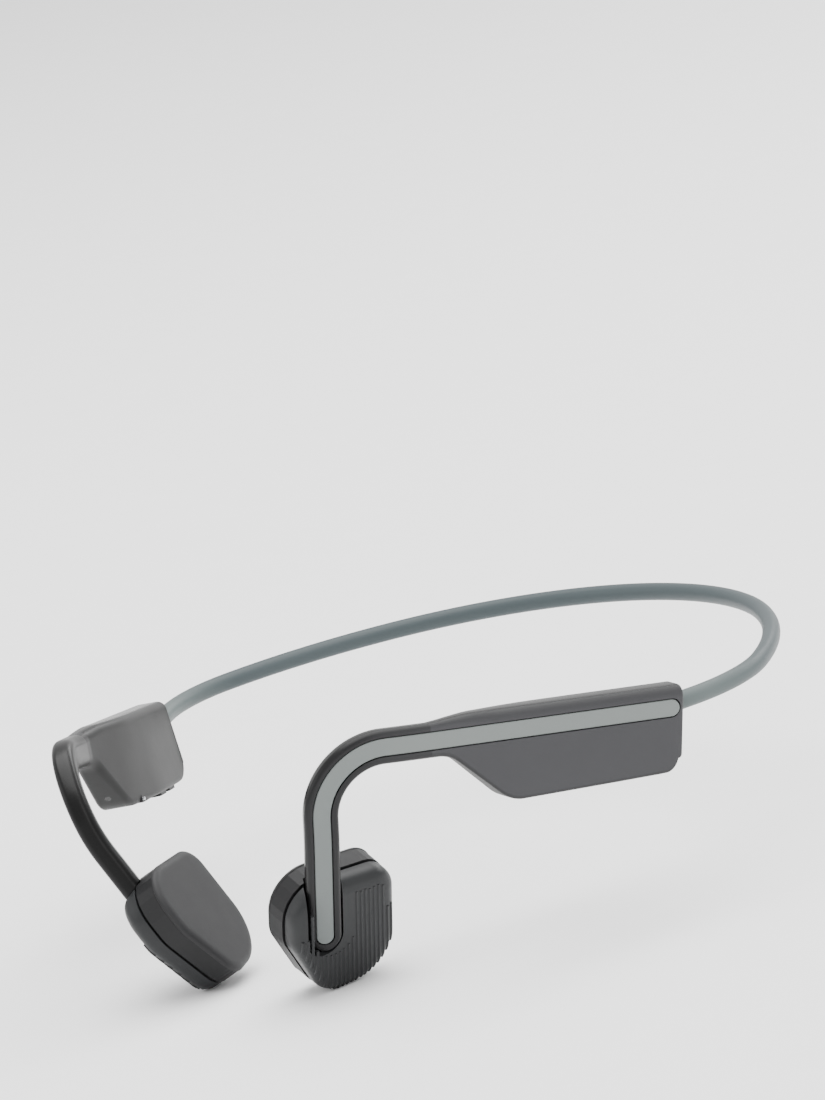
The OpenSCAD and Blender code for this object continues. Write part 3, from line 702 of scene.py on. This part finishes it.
@dataclass
class Case:
    """The case: a slim block that tapers into the arm, deepest at its lower rear."""

    hook: Hook
    length: float = 46.0
    height: float = 14.2
    fall: float = 1.0
    top_lift: float = 0.1
    top_t: float = 6.6
    bottom_t: float = 8.4
    ramp: float = 0.19
    rear_lean: float = 0.09
    end_round: float = 0.62
    soft: float = 0.35
    radii: tuple[float, float, float, float] = (2.0, 1.7, 1.1, 0.7)

    def lower_edge(self) -> tuple[np.ndarray, np.ndarray]:
        """Return y and z along the case's lower edge, front to rear."""
        low = self.hook.bar_z - self.hook.width / 2
        outline = Outline(
            (
                (0.2, self.top_lift, 1.2),
                (-self.length - 4, self.top_lift, 1.0),
                (-self.length - 4, low, 0.5),
                (-(self.length - 3.4), low, 5.5),
                (-(self.length - 13.9), -self.height - self.fall, 6.0),
                (-1.1, -self.height, 2.4),
            )
        ).points(10)
        chain = outline[33:66]
        return chain[:, 0], chain[:, 1]

    def section(
        self, y: float, shrink: float, g: float, deep: float
    ) -> tuple[np.ndarray, np.ndarray, np.ndarray]:
        """Return the case's (x, z) section at y with its tone and inner values."""
        ys, zs = self.lower_edge()
        front = float(np.clip((-38 - y) / 8, 0, 1))
        blend = float(np.clip((-34 - y) / 12, 0, 1))
        top = self.top_lift - (self.top_lift - self.hook.bar_z - self.hook.width / 2) * front**1.3 - shrink
        low = float(np.interp(y, ys, zs)) + shrink
        ramp = self.hook.thickness + self.ramp * max(0.0, y + self.length - 2)
        soft = [
            -self.soft * math.log(math.exp(-t / self.soft) + math.exp(-ramp / self.soft))
            for t in (self.top_t, self.bottom_t)
        ]
        keep = [r + (q - r) * blend for r, q in zip(self.radii, (0.95, 1.8, 1.8, 0.95))]
        keep = [max(0.25, r - shrink * 0.5) for r in keep]
        corners = (
            (-shrink, top, keep[0]),
            (-soft[0] + shrink, top, keep[1]),
            (-soft[1] + shrink, low, keep[2]),
            (-shrink, low, keep[3]),
        )
        body = Outline(corners).points(7)
        rim = [(-shrink, -g), (-shrink - deep, -g), (-shrink - deep, g), (-shrink, g)]
        rim_points = np.array([[x, self.hook.bar_z + z] for x, z in rim])
        arc, zero = np.linspace(0, 1, 8), np.zeros(8)
        # painted shade: tone falls from 1 on the outer face to 0 round the top, so the top wall takes the
        # near-black edge colour, a painted reflection of the dark above
        tone = np.concatenate([1 - arc, zero, zero, arc, np.ones(4)])
        inner = np.concatenate([zero, arc, np.ones(8), 1 - arc, np.zeros(4)])
        return np.concatenate([body, rim_points]), tone, inner * (1 - 0.4 * blend)

    def stations(self) -> list[tuple[float, float, float, float]]:
        """Return (y, shrink, groove half width, groove depth) from front to rear."""
        g, t = self.hook.groove_w / 2, self.hook.groove_t
        rear = self.hook.strip_rear
        made = [(float(y), 0.0, g, t) for y in np.linspace(-self.length, -27, 48)]
        made += [(float(y), 0.0, g, t) for y in np.linspace(-26, -rear - 0.4, 18)]
        made += [(-rear + g * math.sin(a), 0.0, g * math.cos(a), t) for a in np.linspace(0, 1.5, 10)]
        made += [(-rear + g + 0.02, 0.0, 0.03, 0.02)]
        end = -rear + g + 0.05
        for a in np.linspace(0.2, math.pi / 2, 7):
            made.append((end + self.end_round * math.sin(a), self.end_round * (1 - math.cos(a)), 0.03, 0.02))
        return made

    def build(self, maker: Maker, place: Placing) -> None:
        """Make the case as one skin over its two halves."""
        rings, tones, inners = [], [], []
        for y, shrink, g, deep in self.stations():
            section, tone, inner = self.section(y, shrink, g, deep)
            lean = self.rear_lean * float(np.clip((y + 12) / 12, 0, 1))
            shifted = y + lean * (section[:, 1] - self.hook.bar_z)
            rings.append(np.stack([section[:, 0], shifted, section[:, 1]], axis=1))
            tones.append(tone)
            inners.append(inner)
        word = place.side.word
        obj = maker.mesh(f"{word}_case", rings, place, {"tone": tones, "inner": inners})
        maker.finish(obj, "case_plastic", [f"{word}_outer_shell", f"{word}_inner_cover"], place.side.body)


# ---- Driver ----


@dataclass
class Driver:
    """The driver's cap, with its ribs, and its contact pad, in a frame turned about the arm."""

    hook: Hook
    width: float = 20.3
    height: float = 23.2
    depth: float = 9.9
    turn: float = 25.5
    offset: tuple[float, float] = (2.35, -0.8)
    cap_top: float = -0.98
    cap_bottom: float = -4.76
    edge_r: float = 2.4
    pad_depth: float = 8.7
    slot_gap: float = 0.3
    rib_pitch: float = 0.88
    rib_r: float = 0.31
    rib_sink: float = 0.14
    rib_lift: float = 0.28

    def outline(self) -> Outline:
        """Return the driver's outline, seen from outside."""
        w, h = self.width / 2, self.height / 2
        upper = ((w, h - 2.6, 4.5), (-w, h, 6.5))
        lower = ((-w, -h + 11.8, 6.0), (-w + 5.8, -h, 4.5), (w, -h, 8.5))
        return Outline(upper + lower)

    def tip_frame(self, points: np.ndarray) -> np.ndarray:
        """Turn points of the arm's tip frame into the unit's frame."""
        tip = self.hook.path()[-1]
        return tip.at + points @ np.array([tip.out, -tip.side, -tip.ahead])

    def pod_frame(self, points: np.ndarray) -> np.ndarray:
        """Turn points of the driver's frame into the unit's frame."""
        c, s = math.cos(math.radians(self.turn)), math.sin(math.radians(self.turn))
        x, y = points[:, 0] + self.depth / 2, points[:, 1]
        turned = np.stack([x * c - y * s, x * s + y * c, points[:, 2]], axis=1)
        return self.tip_frame(turned + np.array([-self.depth / 2, self.offset[0], self.offset[1]]))

    def slab(self, d: float, x: float, steps: int = 12) -> np.ndarray:
        """Return the outline, inset by d, at depth x in the unit's frame."""
        flat = self.outline().inset(d).points(steps)
        return self.pod_frame(np.column_stack([np.full(len(flat), x), flat]))

    def cap_x(self, where: np.ndarray) -> np.ndarray:
        """Return the cap's outer surface over points of the outline's plane."""
        d = np.clip(self.outline().depth(where), 0, self.edge_r)
        return self.cap_top - self.edge_r + np.sqrt(np.maximum(0, self.edge_r**2 - (self.edge_r - d) ** 2))

    def cutter(self, maker: Maker, place: Placing) -> bpy.types.Object:
        """Make the solid of the slot that the arm lies in."""
        r = self.hook.width / 2 + self.slot_gap
        arc = [(r * math.sin(a), -r * math.cos(a)) for a in np.linspace(-math.pi / 2, math.pi / 2, 25)]
        ring = np.array(arc + [(r, 30.0), (-r, 30.0)])
        rings = [self.tip_frame(np.column_stack([np.full(len(ring), x), ring])) for x in (-8.0, 6.0)]
        return maker.mesh("slot_cutter", rings, place)

    def cap(self, maker: Maker, place: Placing, node: str, body: str) -> None:
        """Make the cap: a rounded shell with a slot for the arm."""
        levels = [(0.15, self.cap_bottom), (0.1, self.cap_bottom + 0.1)]
        for a in np.linspace(0, math.pi / 2, 10):
            inset = 0.1 + self.edge_r * (1 - math.cos(a))
            levels.append((inset, self.cap_top - self.edge_r * (1 - math.sin(a))))
        obj = maker.mesh(f"{place.side.word}_driver_face", [self.slab(d, x) for d, x in levels], place)
        hollow = maker.mesh("hollow_cutter", [self.slab(2.2, x) for x in (-7.0, -2.05)], place)
        maker.carve(obj, [hollow, self.cutter(maker, place)])
        maker.finish(obj, "cap_plastic", [node], body)
        self.ribs(maker, place, body)

    def rib_lines(self) -> list[np.ndarray]:
        """Return one line of points per rib, in the driver's frame."""
        lines = []
        count = int(self.width / self.rib_pitch)
        reach = self.hook.width / 2 + self.slot_gap + self.rib_r + 0.1
        spread = math.cos(math.radians(self.turn))
        for k in range(count):
            y = (k - (count - 1) / 2) * self.rib_pitch
            zs = np.linspace(-self.height / 2, self.height / 2, 90)
            flat = np.column_stack([np.full(len(zs), y), zs])
            inside = self.outline().depth(flat)
            keep = (inside > 0.75) & ((inside > 2.3) | (zs < 2.0))
            beside = y * spread + self.offset[0]
            if abs(beside) < reach:
                arm_end = -self.offset[1] - math.sqrt(reach**2 - beside**2) - 0.15
                keep &= zs < arm_end
            run = flat[keep]
            if len(run) > 8:
                x = self.cap_x(run) + self.rib_r - self.rib_sink - 2 * self.rib_r + self.rib_lift
                lines.append(np.column_stack([x, run]))
        return lines

    def ribs(self, maker: Maker, place: Placing, body: str) -> None:
        """Make the ribs by sweeping a small circle along the lines."""
        points, edges = [], []
        for line in self.rib_lines():
            start = len(points)
            points += [tuple(p) for p in place(self.pod_frame(line))]
            edges += [(start + i, start + i + 1) for i in range(len(line) - 1)]
        mesh = bpy.data.meshes.new(f"{place.side.word}_ribs")
        mesh.from_pydata(points, edges, [])
        obj = bpy.data.objects.new(f"{place.side.word}_driver_ribs", mesh)
        bpy.context.scene.collection.objects.link(obj)
        sweep_lines(obj, self.rib_r / 1000, 10, maker.materials["cap_plastic"])
        maker.tidy(obj.data, 60)
        maker.finish(obj, "cap_plastic", [], body)

    def pad(self, maker: Maker, place: Placing) -> None:
        """Make the contact pad, rounded towards the skin."""
        levels = [(1.0, -self.pad_depth), (0.1, -self.pad_depth - 0.02), (-0.08, -self.pad_depth - 0.14)]
        for a in np.linspace(0, math.pi / 2, 9):
            levels.append((-0.08 + 1.5 * (1 - math.cos(a)), -self.pad_depth - 0.24 - 0.9 * math.sin(a)))
        levels.append((3.2, -self.depth + 0.02))
        levels.append((6.0, -self.depth + 0.005))
        obj = maker.mesh(f"{place.side.word}_skin_pad", [self.slab(d, x) for d, x in levels], place)
        maker.finish(obj, "pad_silicone", [f"{place.side.word}_contact_pad"], place.side.body)


def sweep_lines(obj: bpy.types.Object, radius: float, facets: int, material: bpy.types.Material) -> None:
    """Turn an object's edges into round bars with Geometry Nodes, then into a plain mesh.

    Args:
        obj: A mesh of edges only.
        radius: The bars' radius in metres.
        facets: Points round a bar.
        material: What the bars are made of.
    """
    group = bpy.data.node_groups.new("ribs", "GeometryNodeTree")
    face = group.interface
    face.new_socket("Geometry", in_out="INPUT", socket_type="NodeSocketGeometry")
    sizes = {
        "Radius": face.new_socket("Radius", in_out="INPUT", socket_type="NodeSocketFloat"),
        "Facets": face.new_socket("Facets", in_out="INPUT", socket_type="NodeSocketInt"),
    }
    face.new_socket("Geometry", in_out="OUTPUT", socket_type="NodeSocketGeometry")
    tree = Tree(group)
    source = tree.node("NodeGroupInput", {}, {}, "Geometry")
    outputs = source.socket.node.outputs
    line = tree.node("GeometryNodeMeshToCurve", {}, {"Mesh": source}, "Curve")
    ring = tree.node(
        "GeometryNodeCurvePrimitiveCircle",
        {},
        {"Resolution": Sock(tree, outputs["Facets"]), "Radius": Sock(tree, outputs["Radius"])},
        "Curve",
    )
    bars = tree.node(
        "GeometryNodeCurveToMesh", {}, {"Curve": line, "Profile Curve": ring, "Fill Caps": True}, "Mesh"
    )
    real = tree.node("GeometryNodeRealizeInstances", {}, {"Geometry": bars}, "Geometry")
    done = tree.node("GeometryNodeSetMaterial", {}, {"Geometry": real, "Material": material}, "Geometry")
    tree.node("NodeGroupOutput", {}, {"Geometry": done})
    modifier = obj.modifiers.new("ribs", "NODES")
    modifier.node_group = group
    modifier[sizes["Radius"].identifier] = radius
    modifier[sizes["Facets"].identifier] = facets
    bpy.context.view_layer.update()
    evaluated = obj.evaluated_get(bpy.context.evaluated_depsgraph_get())
    mesh = bpy.data.meshes.new_from_object(evaluated)
    obj.modifiers.clear()
    obj.data = mesh


# ---- Finishes ----

FINISHES: tuple[Finish, ...] = (
    # case_plastic: edge #09090a is painted shade and painted reflection on the case's top wall; the outer
    # face and top wall are one plastic
    TonedFinish(
        "case_plastic", "#3b3b3d", "#38383a", 0.5, edge="#09090a", edge_roughness=0.26, inner="#262626"
    ),
    Finish("inner_plastic", "#1c1c1d", "#19191a", 0.48),
    # hook_silicone: edge #070707 is painted shade on the arm's top, medial and bottom walls and, mixed in,
    # over the arm past the case
    TonedFinish(
        "hook_silicone", "#2e2e2f", "#2b2b2d", 0.45, edge="#070707", edge_roughness=0.3, inner="#0e0e0f"
    ),
    # trim: tone runs from edge #6e7371 at the rear end to #666b6a at the tip, painted shading along a strip
    # of one colour
    TonedFinish(
        "trim", "#666b6a", "#646968", 0.36, 0.02, edge="#6e7371", edge_roughness=0.34, coat=0.15, grain=900.0
    ),
    Finish("pad_silicone", "#282829", "#252526", 0.5),
    Finish("cap_plastic", "#242526", "#212223", 0.42, coat=0.05),
    # band_silicone: #586060 is painted light on the stretch by each case; #40484a is the band's own colour
    # elsewhere
    TonedFinish("band_silicone", "#586060", "#555d5c", 0.46, 0.04, edge="#40484a", edge_roughness=0.42),
    Finish("spring_wire", "#c2c4c6", "#b4b6b8", 0.3, metallic=1.0),
    Finish("steel", "#b8babd", "#a9abae", 0.32, metallic=1.0),
    Finish("copper", "#b87333", "#a8642a", 0.35, metallic=1.0),
    Finish("spring_brass", "#c9a227", "#b8921f", 0.33, metallic=1.0),
    Finish("board", "#1d5a35", "#194f2e", 0.4, coat=0.4),
    Finish("cell", "#4682b4", "#3f76a4", 0.35, coat=0.3),
    Finish("shield", "#c8cacc", "#babcbe", 0.34, metallic=1.0),
    Finish("button_rubber", "#18181a", "#161617", 0.5),
    Finish("cover_rubber", "#1f1f21", "#1d1d1e", 0.55),
    Finish("mesh", "#0c0c0d", "#141415", 0.7, grain=5200.0, bump=0.00005),
    Finish("light_guide", "#2b2b2b", "#282828", 0.25, coat=0.4),
    Finish("floor", "#f4f4f4", "#f1f1f1", 0.85, 0.02, grain=300.0),
)


# ---- Set ----


@dataclass
class Studio:
    """A pale floor, soft lights and the camera."""

    azimuth: float = 40.0
    elevation: float = 12.201
    roll: float = -13.273
    focal_px: float = 7000.0
    long_side_px: float = 1100.0
    eye: tuple[float, float, float] = (750.180, -885.690, 277.986)
    floor_half: float = 6.0

    def floor(self, material: bpy.types.Material) -> None:
        """Lay a large plain floor under the lowest point."""
        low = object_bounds()[0][2]
        s = self.floor_half
        mesh = bpy.data.meshes.new("floor")
        mesh.from_pydata([(-s, -s, low), (s, -s, low), (s, s, low), (-s, s, low)], [], [(0, 1, 2, 3)])
        obj = bpy.data.objects.new("floor", mesh)
        mesh.materials.append(material)
        bpy.context.scene.collection.objects.link(obj)
        obj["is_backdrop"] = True

    def light(self, name: str, at: Corner, target: Corner, size: tuple[float, float], watts: float) -> None:
        """Hang one rectangular area light."""
        data = bpy.data.lights.new(name, "AREA")
        data.shape = "RECTANGLE"
        data.size, data.size_y = size
        data.energy = watts
        obj = bpy.data.objects.new(name, data)
        obj.location = at
        obj.rotation_euler = (Vector(target) - Vector(at)).to_track_quat("-Z", "Y").to_euler()
        bpy.context.scene.collection.objects.link(obj)
        obj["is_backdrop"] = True

    def lights(self) -> None:
        """Hang the soft lights and brighten the world."""
        self.light("overhead", (0.1, 0.15, 1.1), (0, 0, 0), (1.6, 1.2), 30)
        self.light("left_soft", (-0.7, -0.9, 0.55), (0, 0, 0), (0.9, 0.7), 3)
        self.light("right_soft", (1.3, -0.2, 0.5), (0.03, -0.02, 0), (0.5, 0.9), 3)
        self.light("rear_strip", (0.2, 1.0, 0.5), (0, 0, 0), (1.2, 0.25), 5)
        world = bpy.data.worlds.new("world")
        world.use_nodes = True
        tree = Tree(world.node_tree)
        sky = tree.node("ShaderNodeBackground", {}, {"Color": (1, 1, 1, 1), "Strength": 1.25})
        tree.node("ShaderNodeOutputWorld", {}, {"Surface": sky})
        bpy.context.scene.world = world

    def camera(self, shift: np.ndarray) -> None:
        """Set the camera at its angle, rolled about its line of sight."""
        az, el, roll = (math.radians(a) for a in (self.azimuth, self.elevation, self.roll))
        back = np.array([math.sin(az) * math.cos(el), -math.cos(az) * math.cos(el), math.sin(el)])
        right = unit(np.cross(-back, np.array([0, 0, 1.0])))
        up = np.cross(right, -back)
        x = math.cos(roll) * right + math.sin(roll) * up
        y = -math.sin(roll) * right + math.cos(roll) * up
        turn = Matrix([list(row) for row in np.stack([x, y, back], axis=1)]).to_4x4()
        data = bpy.data.cameras.new("camera")
        data.sensor_width = 36.0
        data.lens = 36.0 * self.focal_px / self.long_side_px
        data.clip_end = 20.0
        obj = bpy.data.objects.new("camera", data)
        obj.matrix_world = Matrix.Translation(Vector((np.array(self.eye) + shift) / 1000)) @ turn
        bpy.context.scene.collection.objects.link(obj)
        bpy.context.scene.camera = obj

    def build(self, maker: Maker, shift: np.ndarray) -> None:
        """Build the whole set."""
        self.floor(maker.materials["floor"])
        self.lights()
        self.camera(shift)


# ---- Putting it together ----


def dress_nodes(maker: Maker) -> None:
    """Give every CAD node the material of its slot."""
    slots = {entry["node"]: entry["material_slot"] for entry in frame["record"]["subparts"]}
    for name, obj in frame["nodes"].items():
        obj.data.materials.clear()
        obj.data.materials.append(maker.materials[slots[name]])
        LOG.info("%s keeps its own mesh, slot %s", name, slots[name])


def main() -> None:
    """Build every piece, the set and the camera."""
    logging.basicConfig(level=logging.INFO, format="%(name)s: %(message)s")
    maker = Maker({finish.name: finish.build() for finish in FINISHES})
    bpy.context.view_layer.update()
    dress_nodes(maker)
    band, hook = Band(), Hook()
    case, driver = Case(hook), Driver(hook)
    caps = {Side.LEFT: ("control_button", "control"), Side.RIGHT: ("right_driver_cap", "right_unit")}
    for side in Side:
        place = Placing(side, band)
        band.build(maker, side)
        case.build(maker, place)
        hook.build(maker, place)
        hook.strip(maker, place)
        driver.cap(maker, place, *caps[side])
        driver.pad(maker, place)
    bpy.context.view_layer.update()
    Studio().build(maker, band.shift())
    LOG.info("made %d pieces", len(maker.made))


if __name__ == "__main__":
    main()
